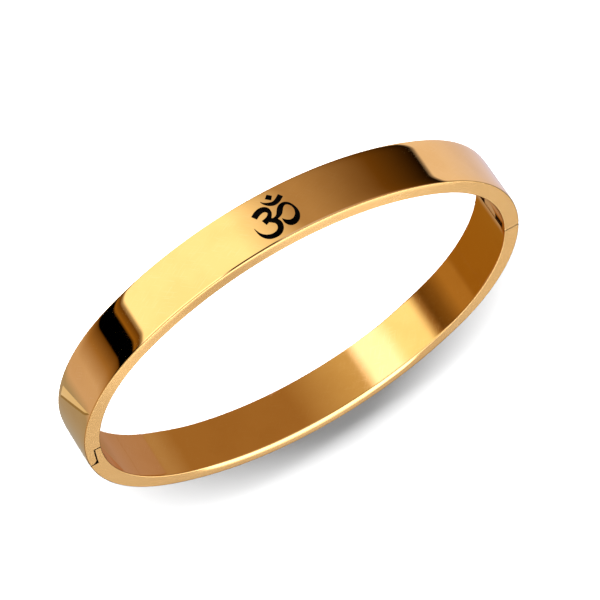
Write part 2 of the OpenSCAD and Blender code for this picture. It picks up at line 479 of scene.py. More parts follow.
def close_ends(piece):
    """Closes a spun tube and turns its faces outwards."""
    only(piece)
    bpy.ops.object.mode_set(mode="EDIT")
    bpy.ops.mesh.select_mode(type="EDGE")
    bpy.ops.mesh.select_all(action="DESELECT")
    bpy.ops.mesh.select_non_manifold()
    bpy.ops.mesh.fill_holes(sides=0)
    bpy.ops.mesh.select_all(action="SELECT")
    bpy.ops.mesh.normals_make_consistent(inside=False)
    bpy.ops.object.mode_set(mode="OBJECT")
    return piece


def spun_bar(name, centre, width, height, start, steps, angle, axis):
    """A closed bar: an upright outline turned by start, then spun about an upright axis."""
    bar = outline(name, centre, width, height, start)
    spin(steps, angle, axis)
    bpy.ops.object.mode_set(mode="OBJECT")
    return close_ends(bar)


def mirror(piece, across_y=False):
    """Mirrors a piece across X, and across Y too if wanted."""
    change = piece.modifiers.new("mirror", "MIRROR")
    change.use_axis = (True, across_y, False)
    change.merge_threshold = MIRROR_NEAR
    bpy.ops.object.modifier_apply(modifier=change.name)


def combine(piece, other, operation):
    """Cuts, joins or intersects a piece with another, which is used up."""
    only(piece)
    change = piece.modifiers.new(operation.lower(), "BOOLEAN")
    change.operation = operation
    change.solver = "EXACT"
    change.object = other
    bpy.ops.object.modifier_apply(modifier=change.name)
    bpy.data.objects.remove(other)
    return piece


def cut(piece, *cutters):
    for cutter in cutters:
        combine(piece, cutter, "DIFFERENCE")
    return piece


def angle_at(y, radius):
    """Angle on a circle at which it is a height y from its centre."""
    return math.asin(y / radius)


# The two halves of the band

def split_side(section, rows, wanted):
    """Splits the side of the section whose two ends are wanted into rows."""
    select_points(section, wanted)
    bpy.ops.mesh.subdivide(number_cuts=rows - 1)
    bpy.ops.object.mode_set(mode="OBJECT")


def band_section(name):
    """Outline of the band's section, its width along X from the end arc's centre. The outer
    face is buffed down towards its edges, and a small round takes off the four corners."""
    inner = END_RADIUS
    outer = END_RADIUS + WALL
    middle = (inner + outer) / 2
    section = outline(name, (middle, 0, BAND_W / 2), WALL, BAND_W)
    bpy.ops.object.mode_set(mode="OBJECT")
    for x in (inner, outer):
        split_side(section, FACE_ROWS, lambda place: abs(place.x - x) < NEAR)
    for z in (0, BAND_W):
        split_side(section, RIM_ROWS, lambda place: abs(place.z - z) < NEAR)
    for row in range(FACE_ROWS):
        height = row * BAND_W / FACE_ROWS
        if height < BUFF_REACH:
            drop = BUFF_DROP * (1 - height / BUFF_REACH) ** 3
            select_points(section, lambda place: abs(place.x - outer) < NEAR
                          and min(abs(place.z - height), abs(BAND_W - place.z - height)) < NEAR)
            bpy.ops.transform.translate(value=(-drop, 0, 0))
            bpy.ops.object.mode_set(mode="OBJECT")
    select_points(section, lambda place: abs(place.x - middle) > WALL / 2 - BUFF_DROP - NEAR
                  and abs(place.z - BAND_W / 2) > BAND_W / 2 - NEAR)
    bpy.ops.mesh.bevel(offset=ARRIS, segments=ARRIS_STEPS, affect="VERTICES")
    bpy.ops.object.mode_set(mode="OBJECT")
    return section


def spin_quarter(side, start):
    """Spins all of a mesh from an angle on the end arc to the middle of a half."""
    bpy.ops.mesh.select_all(action="SELECT")
    spin(END_STEPS, side * MEET - start, (END_X, 0, 0))
    spin(FLAT_STEPS, side * (math.pi / 2 - MEET), (0, -side * FLAT_Y, 0))
    bpy.ops.object.mode_set(mode="OBJECT")


def spun_half(name, side, past):
    """Half of the band on one side of the long axis, its ends drawn past the axis."""
    start = -side * angle_at(past, END_RADIUS)
    half = band_section(name)
    half.rotation_euler.z = start
    half.location.x = END_X
    only(half)
    settle(name)
    bpy.ops.object.mode_set(mode="EDIT")
    spin_quarter(side, start)
    mirror(half)
    return close_ends(half)


def share_between(value, low, high, fade):
    """1 between low and high, and smoothly down to 0 over a distance past each."""
    past = max(low - value, value - high, 0) / fade
    past = min(past, 1)
    return 1 - past * past * (3 - 2 * past)


def wear_rims(half, side):
    """Rounds the rims where they are worn: the back half's inner edges, and the outer edges
    of both halves."""
    for vertex in half.data.vertices:
        along, depth = place_along(vertex.co)
        drop = 0
        to_inner = max(depth, 0) / INNER_WEAR_REACH
        if side == BACK and to_inner < 1:
            share = share_between(along, INNER_WEAR_FROM, INNER_WEAR_TO, WEAR_FADE)
            drop += INNER_WEAR_DROP * (1 - to_inner) ** 2 * share
        to_outer = max(WALL - depth, 0) / OUTER_WEAR_REACH
        if to_outer < 1:
            share = share_between(along, -OUTER_WEAR_TO, OUTER_WEAR_TO, WEAR_FADE)
            drop += OUTER_WEAR_DROP * (1 - to_outer) ** 2 * share
        height = vertex.co.z - BAND_W / 2
        vertex.co.z = BAND_W / 2 + height * (1 - 2 * drop / BAND_W)


def hinge_block(name, low, high, turn=0.0):
    """A box between two corners given from the hinge axis."""
    return block(name, low, high, AXIS, turn)


def arc_bar(name, grow, y_from, y_to):
    """The tongue's curved bar about the hinge axis, grown all round, between two heights."""
    start = angle_at(y_from - AXIS.y, TONGUE_R)
    end = angle_at(y_to - AXIS.y, TONGUE_R)
    centre = AXIS + Vector((TONGUE_R * math.cos(start), TONGUE_R * math.sin(start), BAND_W / 2))
    tall = TONGUE_HIGH.z - TONGUE_LOW.z + 2 * grow
    return spun_bar(name, centre, TONGUE_T + 2 * grow, tall, start, TONGUE_STEPS, end - start, AXIS)


def lap_post(radius):
    """The round face about the hinge axis on which the clasp's lips meet."""
    return post("lap", AXIS, radius, -2 * OVER, BAND_W + 2 * OVER, LAP_SIDES)


def clasp_block(name, y_low, y_high):
    """A box across the band's wall at the clasp, between two heights."""
    return block(name, (HALF_LONG - WALL, y_low, -OVER),
                 (HALF_LONG + 2 * WALL, y_high, BAND_W + OVER))


def knuckle_room(z_low, z_high):
    """Room for the other half's knuckle and the slit through which it shows outside."""
    room = post("room", AXIS, KNUCKLE_R + KNUCKLE_GAP, z_low, z_high)
    slit = hinge_block("slit", (-AXIS_DEPTH - OVER, -SLIT_W / 2, z_low), (0, SLIT_W / 2, z_high))
    return combine(room, slit, "UNION")


def pocket(z_low, z_high):
    """Room for an outer knuckle in the front half, open to the inside."""
    opening = hinge_block("opening", (0, -POCKET_LEN, z_low), (WALL + OVER, OVER, z_high))
    return combine(knuckle_room(z_low, z_high), opening, "UNION")


def knuckle(z_low, z_high):
    return post("knuckle", AXIS, KNUCKLE_R, z_low, z_high)


def pin_bore():
    return post("bore", AXIS, PIN_D / 2 + PIN_GAP, CHEEK, BAND_W - CHEEK)


def cut_front(half):
    """Cuts the front half's hinge and clasp ends."""
    y_tip = LIP_END - CROSS_GAP / 2
    y_step = -LIP_REACH - CROSS_GAP / 2
    lap_x = AXIS.x + LAP_R * math.cos(angle_at(y_tip - AXIS.y, LAP_R))
    cut(half,
        hinge_block("seam", (-AXIS_DEPTH - OVER, -SEAM_GAP / 2, -OVER),
                    (WALL + OVER, PAST_END, BAND_W + OVER)),
        hinge_block("relief", (-AXIS_DEPTH - OVER, 0, -OVER), (0, PAST_END, BAND_W + OVER), RELIEF),
        pocket(CHEEK, MID_LOW - KNUCKLE_GAP / 2),
        pocket(MID_HIGH + KNUCKLE_GAP / 2, BAND_W - CHEEK),
        clasp_block("tip", y_tip, y_tip + PAST_END),
        combine(clasp_block("lap_space", y_step, y_tip + OVER), lap_post(LAP_R), "INTERSECT"),
        block("lead_in", (-OVER, 0, -OVER), (2 * OVER, OVER, BAND_W + OVER),
              (lap_x, y_tip - LEAD_LEN, 0), math.atan2(LEAD_LEN, LEAD_DEPTH)),
        arc_bar("tongue_slot", TONGUE_GAP, -TONGUE_FRONT - TONGUE_GAP, 0))
    combine(half, knuckle(MID_LOW + KNUCKLE_GAP / 2, MID_HIGH - KNUCKLE_GAP / 2), "UNION")
    return cut(half, pin_bore())


def cut_back(half):
    """Cuts the back half's hinge and clasp ends."""
    y_shoulder = LIP_END + CROSS_GAP / 2
    y_end = -LIP_REACH + CROSS_GAP / 2
    cut(half,
        hinge_block("seam", (-AXIS_DEPTH - OVER, -PAST_END, -OVER),
                    (WALL + OVER, SEAM_GAP / 2, BAND_W + OVER)),
        hinge_block("relief", (-AXIS_DEPTH - OVER, -PAST_END, -OVER), (0, 0, BAND_W + OVER), -RELIEF),
        knuckle_room(MID_LOW - KNUCKLE_GAP / 2, MID_HIGH + KNUCKLE_GAP / 2),
        clasp_block("lip_end", y_end - PAST_END, y_end),
        cut(clasp_block("lip_side", y_end - OVER, y_shoulder), lap_post(LIP_R)),
        arc_bar("tongue_slot", INLAY_GAP, -TONGUE_FRONT, TONGUE_BACK + INLAY_GAP))
    combine(half, knuckle(CHEEK + KNUCKLE_GAP, MID_LOW - KNUCKLE_GAP), "UNION")
    combine(half, knuckle(MID_HIGH + KNUCKLE_GAP, BAND_W - CHEEK - KNUCKLE_GAP), "UNION")
    return cut(half, pin_bore())


# The symbol's inlays and their pockets

def symbol_prism(node, past_inside):
    """A merged copy of an inlay, drawn out past the band's outer face and further inwards."""
    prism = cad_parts[node].copy()
    prism.data = prism.data.copy()
    bpy.context.scene.collection.objects.link(prism)
    prism.parent = None
    prism.hide_render = False
    prism.hide_viewport = False
    only(prism)
    bpy.ops.object.mode_set(mode="EDIT")
    bpy.ops.mesh.select_mode(type="FACE")
    bpy.ops.mesh.select_all(action="SELECT")
    bpy.ops.mesh.remove_doubles(threshold=CAD_NEAR)
    bpy.ops.object.mode_set(mode="OBJECT")
    prism.scale = (1 / MM, 1 / MM, 1 / MM)
    only(prism)
    prism = settle(node + "_prism")
    for facing, past in ((FRONT, OVER), (BACK, past_inside)):
        select_faces(prism, lambda face: facing * face.normal.y > FACE_ON)
        bpy.ops.transform.translate(value=(0, facing * past, 0))
        bpy.ops.object.mode_set(mode="OBJECT")
    return prism


def enamel_sheet():
    """A curved sheet of enamel just under the front face, wide enough for the whole symbol."""
    front_r = FLAT_RADIUS + WALL
    thick = INLAY_DEPTH - INLAY_SINK
    middle = front_r - INLAY_SINK - thick / 2
    reach = SHEET_LEN / middle / 2
    start = -math.pi / 2 - reach
    centre = (middle * math.cos(start), FLAT_Y + middle * math.sin(start), BAND_W / 2)
    return spun_bar("enamel", centre, thick, BAND_W - 2 * CHEEK, start,
                    SHEET_STEPS, 2 * reach, (0, FLAT_Y, 0))


# Shading and the places along the band

def copy_of(piece, name):
    twin = piece.copy()
    twin.data = piece.data.copy()
    twin.name = name
    bpy.context.scene.collection.objects.link(twin)
    return twin


def search_tree(piece):
    """A tree of a piece's faces, which finds the one nearest to a point."""
    points = [vertex.co for vertex in piece.data.vertices]
    return BVHTree.FromPolygons(points, [list(face.vertices) for face in piece.data.polygons])


def skin_faces(piece, uncut):
    """For each face of a piece that still lies on the uncut skin, the skin's face there."""
    skin = search_tree(uncut)
    found = {}
    for face in piece.data.polygons:
        _, normal, index, gap = skin.find_nearest(face.center)
        if gap < SKIN_GAP and normal.dot(face.normal) > SKIN_MATCH:
            found[face.index] = index
    return found


def keep_skin_shading(piece, uncut):
    """Gives what is left of the skin the uncut skin's smooth normals, and creases the cuts."""
    skin = uncut.data
    only(piece)
    bpy.ops.object.shade_smooth_by_angle(angle=math.radians(CREASE_DEG))
    mesh = piece.data
    normals = [corner.vector.copy() for corner in mesh.corner_normals]
    on_skin = skin_faces(piece, uncut)
    for index, skin_index in on_skin.items():
        corners = skin.polygons[skin_index].vertices
        places = [skin.vertices[i].co for i in corners]
        for loop in mesh.polygons[index].loop_indices:
            point = mesh.vertices[mesh.loops[loop].vertex_index].co
            shares = poly_3d_calc(places, point)
            normal = Vector()
            for share, corner in zip(shares, corners):
                normal += share * skin.vertices[corner].normal
            normals[loop] = normal.normalized()
    mesh.normals_split_custom_set(normals)
    return on_skin


def place_along(point):
    """How far a point lies along the band from its half's middle, and how far into the wall."""
    side = BACK if point.y > 0 else FRONT
    flat = Vector((point.x, point.y + side * FLAT_Y))
    turn = math.atan2(abs(flat.x), side * flat.y)
    if turn <= math.pi / 2 - MEET:
        along = turn * (FLAT_RADIUS + WALL / 2)
        depth = flat.length - FLAT_RADIUS
    else:
        end = Vector((abs(point.x) - END_X, point.y))
        turn = MEET - math.atan2(side * end.y, end.x)
        along = (math.pi / 2 - MEET) * (FLAT_RADIUS + WALL / 2) + turn * (END_RADIUS + WALL / 2)
        depth = end.length - END_RADIUS
    return math.copysign(along, point.x), depth


def mark_band(piece, uncut):
    """Keeps each point's place in the band for the finishes to follow: how far round from the
    front's middle, how far into the wall and across it, and how much it faces a rim."""
    skin = search_tree(uncut)
    places = []
    rims = []
    for vertex in piece.data.vertices:
        along, depth = place_along(vertex.co)
        if vertex.co.y > 0:
            along = HALF_ROUND - along
        places.extend([along, depth, vertex.co.z])
        normal = skin.find_nearest(vertex.co)[1]
        rims.append(abs(normal.z))
    piece.data.attributes.new("band", "FLOAT_VECTOR", "POINT").data.foreach_set("vector", places)
    piece.data.attributes.new("rim", "FLOAT", "POINT").data.foreach_set("value", rims)


def to_metres(piece):
    piece.scale = (MM, MM, MM)
    only(piece)
    bpy.ops.object.transform_apply(location=True, rotation=True, scale=True)


# Node helpers

def add(tree, kind, inputs=None, **settings):
    """A new node with the values of its inputs and its own settings."""
    node = tree.nodes.new(kind)
    for name, value in settings.items():
        setattr(node, name, value)
    set_inputs(node, inputs or {})
    return node


def set_inputs(node, inputs):
    for name, value in inputs.items():
        node.inputs[name].default_value = value


def link(tree, *pairs):
    for source, target in pairs:
        tree.links.new(source, target)


def feed(tree, node, values):
    """Fills a node's inputs, found by place or name, each from another node or with a value."""
    for place, value in values.items():
        if isinstance(value, bpy.types.NodeSocket):
            tree.links.new(value, node.inputs[place])
        else:
            node.inputs[place].default_value = value


def maths(tree, operation, *values):
    """A Math node on sockets or numbers; returns its output."""
    node = add(tree, "ShaderNodeMath", operation=operation)
    feed(tree, node, dict(enumerate(values)))
    return node.outputs[0]


def step(tree, value, low, high):
    """0 below low, 1 above high and smooth between; low may be above high."""
    node = add(tree, "ShaderNodeMapRange", interpolation_type="SMOOTHSTEP")
    limits = (low, high, 0.0, 1.0) if low < high else (high, low, 1.0, 0.0)
    feed(tree, node, dict(enumerate((value, *limits))))
    return node.outputs["Result"]


def blend_colours(tree, share, first, second):
    node = add(tree, "ShaderNodeMix", data_type="RGBA")
    feed(tree, node, {0: share, 6: first, 7: second})
    return node.outputs[2]


def blend_values(tree, share, first, second):
    node = add(tree, "ShaderNodeMix")
    feed(tree, node, {0: share, 2: first, 3: second})
    return node.outputs[0]


def coordinates(tree, kind):
    return add(tree, "ShaderNodeTexCoord").outputs[kind]


def parts_of(tree, vector):
    """The X, Y and Z of a vector."""
    split = add(tree, "ShaderNodeSeparateXYZ")
    link(tree, (vector, split.inputs[0]))
    return split.outputs


def ramp(tree, share, stops):
    """A ramp of straight changes between stops, each a place from 0 to 1 and a colour."""
    node = add(tree, "ShaderNodeValToRGB")
    elements = node.color_ramp.elements
    elements.remove(elements[1])
    for row, (place, colour) in enumerate(stops):
        element = elements[0] if row == 0 else elements.new(place)
        element.position = place
        element.color = colour
    link(tree, (share, node.inputs["Fac"]))
    return node.outputs["Color"]


def new_material(name, inputs=None):
    """A new material with the values of its shader's inputs, and its tree and shader."""
    material = bpy.data.materials.new(name)
    material.use_nodes = True
    shader = material.node_tree.nodes["Principled BSDF"]
    set_inputs(shader, inputs or {})
    return material, material.node_tree, shader


# Camera at the photo's angle

def set_camera():
    data = bpy.data.cameras.new("camera")
    data.lens = LENS
    data.sensor_width = SENSOR
    data.clip_start = CAMERA_NEAR * MM
    camera = bpy.data.objects.new("camera", data)
    bpy.context.scene.collection.objects.link(camera)
    back = CAMERA_RIGHT.cross(CAMERA_UP)
    turn = Matrix((CAMERA_RIGHT, CAMERA_UP, back)).transposed().to_4x4()
    camera.matrix_world = Matrix.Translation(CAMERA_SPOT * MM) @ turn
    bpy.context.scene.camera = camera


# What the polished metal reflects

def share_of_turn(degrees):
    """The share of a full turn, from -X round by -Y and +X, of an angle from +X."""
    return degrees / 360 + 0.5


def turn_at(tree, x, y):
    """The share of a full turn at which a point lies in the plan."""
    return maths(tree, "MULTIPLY_ADD", maths(tree, "ARCTAN2", y, x), 0.5 / math.pi, 0.5)


def panel_colour(colour):
    """A colour of the studio as the part of the brightest that its glow multiplies."""
    return (*(value / ROOM_PEAK for value in colour), 1)


def panels(tree, turn, walls):
    """Panels that stand round a full turn, each with what it is, its degrees and its colour."""
    return ramp(tree, turn, [(share_of_turn(degrees), panel_colour(colour))
                             for _, degrees, colour in walls])


def set_room():
    """The studio round the bangle. Only reflections see its panels: all else sees white."""
    world = bpy.data.worlds.new("studio")
    bpy.context.scene.world = world
    world.use_nodes = True
    tree = world.node_tree
    tree.nodes.clear()
    x, y, z = parts_of(tree, coordinates(tree, "Generated"))
    height = maths(tree, "DEGREES", maths(tree, "ARCSINE", z))
    turn = turn_at(tree, x, y)
    level = step(tree, height, HORIZON_LOW, HORIZON_LOW + HORIZON_SOFT)
    walls = blend_colours(tree, level, panels(tree, turn, ROOM_WALLS),
                          panels(tree, turn, ROOM_HORIZON))
    right = share_of_turn(SOFTBOX_FROM)
    left = share_of_turn(SOFTBOX_TO)
    fade = SOFTBOX_FADE / 360
    across = maths(tree, "MULTIPLY", step(tree, turn, right - fade, right),
                   step(tree, turn, left + fade, left))
    upper = step(tree, height, SOFTBOX_LOW, SOFTBOX_LOW + SOFTBOX_SOFT)
    ceiling = blend_colours(tree, maths(tree, "MULTIPLY", upper, across), CEILING, SOFTBOX)
    above = step(tree, height, HORIZON_HIGH - HORIZON_SOFT, HORIZON_HIGH + HORIZON_SOFT)
    room = add(tree, "ShaderNodeBackground", {"Strength": ROOM_PEAK})
    plain = add(tree, "ShaderNodeBackground", {"Color": WHITE})
    floor_fill = add(tree, "ShaderNodeBackground", {"Color": WHITE, "Strength": FLOOR_FILL})
    path = add(tree, "ShaderNodeLightPath")
    direct = add(tree, "ShaderNodeMixShader")
    pick = add(tree, "ShaderNodeMixShader")
    output = add(tree, "ShaderNodeOutputWorld")
    link(tree, (blend_colours(tree, above, walls, ceiling), room.inputs["Color"]),
         (path.outputs["Is Camera Ray"], direct.inputs[0]),
         (floor_fill.outputs[0], direct.inputs[1]),
         (plain.outputs[0], direct.inputs[2]),
         (path.outputs["Is Glossy Ray"], pick.inputs[0]),
         (direct.outputs[0], pick.inputs[1]),
         (room.outputs[0], pick.inputs[2]),
         (pick.outputs[0], output.inputs["Surface"]))
    world.cycles.sampling_method = "NONE"


def glowing_material(name):
    """A material that only glows, and its tree and glow."""
    material, tree, shader = new_material(name)
    tree.nodes.remove(shader)
    glow = add(tree, "ShaderNodeEmission", {"Strength": ROOM_PEAK})
    link(tree, (glow.outputs[0], tree.nodes["Material Output"].inputs["Surface"]))
    material.cycles.emission_sampling = "NONE"
    return material, tree, glow


def hang(panel, material):
    """Finishes a panel of the studio, which only reflections see."""
    panel.data.materials.append(material)
    to_metres(panel)
    panel.visible_camera = False
    panel.visible_diffuse = False
    panel.visible_transmission = False
    panel.visible_volume_scatter = False
    panel.visible_shadow = False


def set_strip():
    """A light strip beside the clasp, from under the floor's level to just above it, with one
    darker side."""
    material, tree, glow = glowing_material("strip_light")
    across = parts_of(tree, coordinates(tree, "UV"))["X"]
    shade = step(tree, across, STRIP_DARK_FROM, STRIP_DARK_TO)
    link(tree, (blend_colours(tree, shade, STRIP_LIGHT, STRIP_SHADE), glow.inputs["Color"]))
    lean = STRIP_HIGH - STRIP_LOW
    strip = upright_plate("strip", STRIP_LOW + Vector((0, 0, lean.z / 2)), STRIP_WIDE, lean.z,
                          math.radians(STRIP_TURN_DEG))
    select_points(strip, lambda place: place.z > STRIP_HIGH.z - NEAR)
    bpy.ops.transform.translate(value=(lean.x, lean.y, 0))
    narrow = STRIP_NARROW / STRIP_WIDE
    bpy.ops.transform.resize(value=(narrow, narrow, 1), center_override=STRIP_HIGH)
    bpy.ops.object.mode_set(mode="OBJECT")
    hang(strip, material)


def set_card(name, x, colour):
    """A card across the well, upright and along Y."""
    material, _, glow = glowing_material(name)
    glow.inputs["Color"].default_value = panel_colour(colour)
    reach = HALF_SHORT + OVER - CARD_Y
    centre = (x, CARD_Y + reach / 2, -CARD_TOP - CARD_DEPTH / 2)
    hang(upright_plate(name, centre, reach, CARD_DEPTH, math.pi / 2), material)


def set_well():
    """A tube of panels under the floor, which the band's inner face reflects."""
    material, tree, glow = glowing_material("well_panels")
    x, y, z = parts_of(tree, coordinates(tree, "Object"))
    turn = turn_at(tree, x, y)
    low = share_of_turn(AMBER_LOW_DEG)
    high = share_of_turn(AMBER_HIGH_DEG)
    across = maths(tree, "MULTIPLY", step(tree, turn, low, low + AMBER_LOW_FADE),
                   step(tree, turn, high, high - AMBER_HIGH_FADE))
    deep = step(tree, z, -(AMBER_DEPTH - AMBER_DEPTH_FADE) * MM, -(AMBER_DEPTH + AMBER_DEPTH_FADE) * MM)
    shade = blend_colours(tree, maths(tree, "MULTIPLY", across, deep),
                          panels(tree, turn, WELL_WALLS), panel_colour(AMBER))
    link(tree, (shade, glow.inputs["Color"]))
    well = outline("well", (HALF_LONG, 0, -WELL_DEPTH / 2 - WELL_TOP), 1, WELL_DEPTH)
    bpy.ops.object.mode_set(mode="OBJECT")
    select_points(well, lambda place: place.x < HALF_LONG)
    bpy.ops.mesh.delete(type="VERT")
    spin_quarter(BACK, 0)
    mirror(well, across_y=True)
    bpy.ops.object.shade_smooth()
    hang(well, material)
    set_card("clay_card", CARD_APART / 2, CLAY)
    set_card("amber_card", -CARD_APART / 2, AMBER)


def set_floor():
    material, _, _ = new_material(
        "floor_white", {"Base Color": FLOOR_WHITE, "Roughness": 1.0, "Specular IOR Level": 0.0})
    bpy.ops.object.select_all(action="DESELECT")
    bpy.ops.mesh.primitive_plane_add(size=FLOOR_SIZE, location=(0, 0, 0))
    floor = settle("floor")
    floor.data.materials.append(material)
    to_metres(floor)
    floor.visible_glossy = False
    return floor


def set_key(floor, blocker):
    """A wide, low lamp that lights the floor alone, and that one piece alone shades."""
    low = KEY_AWAY * math.tan(math.radians(KEY_LOW_DEG))
    high = KEY_AWAY * math.tan(math.radians(KEY_HIGH_DEG))
    turn = math.radians(KEY_TURN_DEG)
    data = bpy.data.lights.new("key", "AREA")
    data.shape = "RECTANGLE"
    data.size = 2 * KEY_AWAY * math.tan(math.radians(KEY_HALF_DEG)) * MM
    data.size_y = (high - low) * MM
    data.energy = KEY_WATTS
    key = bpy.data.objects.new("key", data)
    bpy.context.scene.collection.objects.link(key)
    place = Vector((KEY_AWAY * math.sin(turn), -KEY_AWAY * math.cos(turn), (low + high) / 2))
    key.location = place * MM
    key.rotation_euler = (math.pi / 2, 0, turn)
    key.visible_camera = False
    key.visible_glossy = False
    lit = bpy.data.collections.new("lit_by_key")
    lit.objects.link(floor)
    shading = bpy.data.collections.new("shading_key")
    shading.objects.link(blocker)
    key.light_linking.receiver_collection = lit
    key.light_linking.blocker_collection = shading


# Effects that more than one finish uses

def new_group(name, inputs, outputs):
    """A node group with its sockets, and its input and output nodes."""
    group = bpy.data.node_groups.new(name, "ShaderNodeTree")
    for socket_name, value in inputs.items():
        kind = "NodeSocketFloat" if isinstance(value, float) else "NodeSocketVector"
        socket = group.interface.new_socket(socket_name, in_out="INPUT", socket_type=kind)
        socket.default_value = value
    for socket_name in outputs:
        group.interface.new_socket(socket_name, in_out="OUTPUT", socket_type="NodeSocketFloat")
    return group, group.nodes.new("NodeGroupInput"), group.nodes.new("NodeGroupOutput")


def surface_place(tree, place):
    """Places on a surface from places in the band: along it, and across it on face or rim."""
    x, y, z = parts_of(tree, place)
    return x, maths(tree, "ADD", y, z)


def flat_vector(tree, x, y):
    node = add(tree, "ShaderNodeCombineXYZ")
    link(tree, (x, node.inputs["X"]), (y, node.inputs["Y"]))
    return node.outputs[0]


def make_brushed_lines():
    """Fine lines that run along the piece."""
    group, given, result = new_group(
        "brushed_lines", {"Place": (0.0, 0.0, 0.0), "Lines per mm": 4.0, "Length in mm": 3.0},
        ["Lines"])
    along, across = surface_place(group, given.outputs["Place"])
    along = maths(group, "DIVIDE", along, given.outputs["Length in mm"])
    across = maths(group, "MULTIPLY", across, given.outputs["Lines per mm"])
    noise = add(group, "ShaderNodeTexNoise", {"Scale": 1.0, "Detail": 3.0, "Roughness": 0.6},
                noise_dimensions="2D")
    link(group, (flat_vector(group, along, across), noise.inputs["Vector"]),
         (noise.outputs["Fac"], result.inputs["Lines"]))
    return group


def make_fine_scratches():
    """A few thin scratches in two directions, as a mask."""
    group, given, result = new_group(
        "fine_scratches", {"Place": (0.0, 0.0, 0.0), "Length in mm": 2.5, "Share": 0.3},
        ["Scratches"])
    along, across = surface_place(group, given.outputs["Place"])
    masks = []
    for turn, seed in SCRATCH_TURNS_AND_SEEDS:
        first = maths(group, "ADD", maths(group, "MULTIPLY", along, math.cos(turn)),
                      maths(group, "MULTIPLY", across, math.sin(turn)))
        second = maths(group, "SUBTRACT", maths(group, "MULTIPLY", across, math.cos(turn)),
                       maths(group, "MULTIPLY", along, math.sin(turn)))
        first = maths(group, "DIVIDE", first, given.outputs["Length in mm"])
        first = maths(group, "ADD", first, seed)
        noise = add(group, "ShaderNodeTexNoise", {"Scale": 1.0, "Detail": 1.0},
                    noise_dimensions="2D")
        second = maths(group, "MULTIPLY", second, SCRATCHES_PER_MM)
        link(group, (flat_vector(group, first, second), noise.inputs["Vector"]))
        masks.append(step(group, noise.outputs["Fac"], SCRATCH_FROM, SCRATCH_TO))
    both = maths(group, "MAXIMUM", *masks)
    shared = maths(group, "MULTIPLY", both, given.outputs["Share"])
    link(group, (shared, result.inputs["Scratches"]))
    return group


def make_smudges():
    """Soft patches of handling marks, as a mask."""
    group, given, result = new_group(
        "smudges", {"Place": (0.0, 0.0, 0.0), "Size in mm": 5.0}, ["Smudge"])
    along, across = surface_place(group, given.outputs["Place"])
    along = maths(group, "DIVIDE", along, given.outputs["Size in mm"])
    across = maths(group, "DIVIDE", across, given.outputs["Size in mm"])
    noise = add(group, "ShaderNodeTexNoise", {"Scale": 1.0, "Detail": 2.0},
                noise_dimensions="2D")
    link(group, (flat_vector(group, along, across), noise.inputs["Vector"]),
         (step(group, noise.outputs["Fac"], SMUDGE_FROM, SMUDGE_TO), result.inputs["Smudge"]))
    return group


def use_effect(tree, effect, place, **values):
    """Places an effect's group in a material and returns its output."""
    node = add(tree, "ShaderNodeGroup", node_tree=effects[effect])
    link(tree, (place, node.inputs["Place"]))
    for name, value in values.items():
        node.inputs[name.replace("_", " ").capitalize()].default_value = value
    return node.outputs[0]


def bump(tree, height, shader):
    node = add(tree, "ShaderNodeBump", {"Strength": 1.0, "Distance": 1.0})
    link(tree, (height, node.inputs["Height"]), (node.outputs["Normal"], shader.inputs["Normal"]))


# Finishes

def band_place(tree):
    """Where a point lies in the band: the place, and its parts along, into and across it."""
    band = add(tree, "ShaderNodeAttribute", attribute_name="band")
    return band.outputs["Vector"], *parts_of(tree, band.outputs["Vector"])


def object_place(tree):
    """A point's place on the object in millimetres."""
    scale = add(tree, "ShaderNodeVectorMath", operation="SCALE")
    feed(tree, scale, {0: coordinates(tree, "Object"), "Scale": 1 / MM})
    return scale.outputs[0]


def rim_roughness(tree, along):
    """The rims' roughness, which changes round the band as hand finishing leaves it."""
    reach = RIM_TO - RIM_FROM
    share = maths(tree, "DIVIDE", maths(tree, "SUBTRACT", along, RIM_FROM), reach)
    return ramp(tree, share, [((place - RIM_FROM) / reach, (roughness, roughness, roughness, 1))
                              for place, roughness in RIM_SATIN])


def polished_gold():
    """Mirror polish outside, a softer one inside, and brushed satin rims."""
    material, tree, shader = new_material("polished_gold", {"Metallic": 1.0})
    place, along, depth, _ = band_place(tree)
    rim = add(tree, "ShaderNodeAttribute", attribute_name="rim")
    satin = step(tree, rim.outputs["Fac"], SATIN_FROM, SATIN_TO)
    inside = step(tree, depth, INSIDE_FROM, INSIDE_TO)
    smudge = use_effect(tree, "smudges", place, size_in_mm=6.0)
    scratches = use_effect(tree, "fine_scratches", place, length_in_mm=2.5, share=0.3)
    lines = use_effect(tree, "brushed_lines", place, lines_per_mm=4.5, length_in_mm=6.0)
    waves = add(tree, "ShaderNodeTexNoise", {"Scale": INNER_WAVES_PER_MM, "Detail": 1.0})
    link(tree, (place, waves.inputs["Vector"]))

    tint = blend_colours(tree, smudge, GOLD, GOLD_DEEP)
    link(tree, (blend_colours(tree, scratches, tint, GOLD_SCRATCHED), shader.inputs["Base Color"]))

    face_rough = maths(tree, "MULTIPLY_ADD", inside, INNER_ROUGH - POLISH_ROUGH, POLISH_ROUGH)
    rough = blend_values(tree, satin, face_rough, rim_roughness(tree, along))
    rough = maths(tree, "ADD", rough, maths(tree, "MULTIPLY", smudge, SMUDGE_ROUGH))
    rough = maths(tree, "ADD", rough, maths(tree, "MULTIPLY", scratches, SCRATCH_ROUGH))
    link(tree, (rough, shader.inputs["Roughness"]))

    line_height = maths(tree, "MULTIPLY", maths(tree, "MULTIPLY", lines, satin), RIM_LINE_RELIEF)
    wave_height = maths(tree, "MULTIPLY", waves.outputs["Fac"], inside)
    wave_height = maths(tree, "MULTIPLY", wave_height, INNER_WAVE_RELIEF)
    bump(tree, maths(tree, "ADD", line_height, wave_height), shader)
    return material


